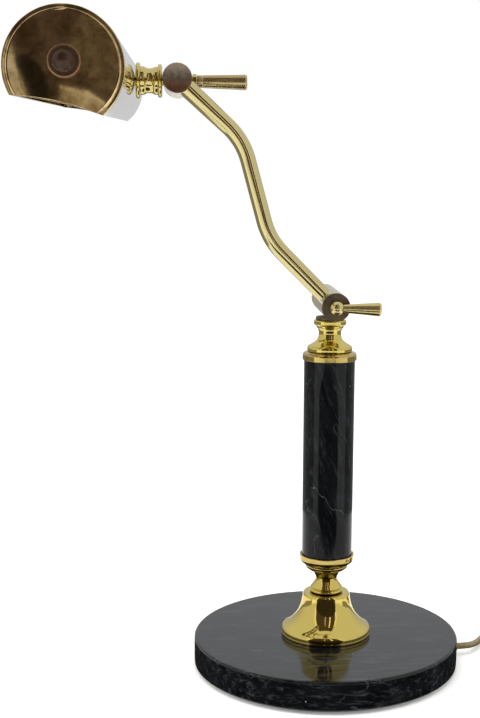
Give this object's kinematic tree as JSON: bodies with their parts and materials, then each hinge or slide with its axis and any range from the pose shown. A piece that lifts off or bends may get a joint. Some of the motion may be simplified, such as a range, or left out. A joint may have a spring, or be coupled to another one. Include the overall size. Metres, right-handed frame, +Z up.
{
  "type": "desk lamp",
  "caption": "Jointed desk lamp: round marble foot and column, turned brass fittings, cranked brass arm on barrel joints, and a long tube shade open along its underside.",
  "frame": {"origin": "centre of the felt underside, on the table", "axes": "+Z up, +X from the column towards the cord's exit and the joint handles (the shade hangs on the -X side), +Y along the shade away from the sitter and the switch"},
  "size_m": [0.452, 0.3711, 0.4715],
  "materials": {
    "polished_brass": "polished and lacquered, slightly tarnished",
    "dull_brass": "tarnished",
    "dark_marble": "polished, grey veins",
    "steel": "plain zinc-plated",
    "green_felt": "felt",
    "gold_cord": "gold-coloured PVC",
    "black_plastic": "moulded",
    "white_ceramic": "unglazed steatite",
    "bulb_glass": "frosted"
  },
  "bodies": {
    "foot": {"felt_pad": "green_felt", "marble_base": "dark_marble", "rod_nut": "steel", "rod_washer": "steel", "threaded_rod": "steel", "bell_foot": "polished_brass", "waist_bead": "polished_brass", "lower_collar": "polished_brass", "marble_column": "dark_marble", "upper_collar": "polished_brass", "turned_neck": "polished_brass", "strain_relief": "gold_cord", "cord_lead": "gold_cord", "cord_coil": "gold_cord", "cord_tail": "gold_cord", "plug_body": "gold_cord", "plug_pin_left": "steel", "plug_pin_right": "steel"},
    "swivel_head": {"swivel_spigot": "dull_brass", "lower_barrel": "polished_brass", "lower_rear_cap": "polished_brass", "lower_bolt": "steel"},
    "arm": {"lower_knuckle": "polished_brass", "lower_front_cap": "dull_brass", "arm_tube": "polished_brass", "upper_knuckle": "polished_brass", "upper_front_cap": "dull_brass"},
    "lever": {"clamp_ball_nut": "polished_brass", "clamp_lever": "polished_brass"},
    "upper_joint": {"upper_barrel": "polished_brass", "upper_rear_cap": "polished_brass", "upper_pin": "steel"},
    "shade": {"shade_coupler": "polished_brass", "coupler_set_screw": "steel", "coupler_nut": "steel", "lamp_bracket": "steel", "shade_shell": "polished_brass", "near_end_cap": "polished_brass", "far_end_cap": "polished_brass", "switch_body": "black_plastic", "switch_ring": "polished_brass", "near_lampholder": "white_ceramic", "far_lampholder": "white_ceramic", "near_bulb_cap": "steel", "far_bulb_cap": "steel", "near_bulb_envelope": "bulb_glass", "far_bulb_envelope": "bulb_glass"},
    "handle": {"handle_collar": "polished_brass", "shade_handle": "polished_brass"},
    "knob": {"switch_knob": "polished_brass"}
  },
  "joints": [
    {"name": "head_swivel", "type": "hinge", "parent": "foot", "child": "swivel_head", "pos_m": [0, 0, 0.2552], "axis": [0, 0, 1], "range_deg": [-170, 170]},
    {"name": "arm_tilt", "type": "hinge", "parent": "swivel_head", "child": "arm", "pos_m": [0, 0, 0.2752], "axis": [0, 1, 0], "range_deg": [-40, 45]},
    {"name": "clamp_lever_turn", "type": "hinge", "parent": "swivel_head", "child": "lever", "pos_m": [0, -0.0426, 0.2752], "axis": [0, -1, 0], "range_deg": [0, 120]},
    {"name": "head_tilt", "type": "hinge", "parent": "arm", "child": "upper_joint", "pos_m": [-0.1112, 0, 0.4319], "axis": [0, 1, 0], "range_deg": [-30, 75]},
    {"name": "shade_swivel", "type": "hinge", "parent": "upper_joint", "child": "shade", "pos_m": [-0.1112, 0, 0.4319], "axis": [1, 0, 0], "range_deg": [-90, 90]},
    {"name": "handle_turn", "type": "hinge", "parent": "shade", "child": "handle", "pos_m": [-0.08, 0, 0.4319], "axis": [1, 0, 0], "range_deg": [0, 180]},
    {"name": "switch_turn", "type": "hinge", "parent": "shade", "child": "knob", "pos_m": [-0.17487, -0.18603, 0.43079], "axis": [0, 0.9997, 0.0244], "range_deg": [0, 90]}
  ]
}
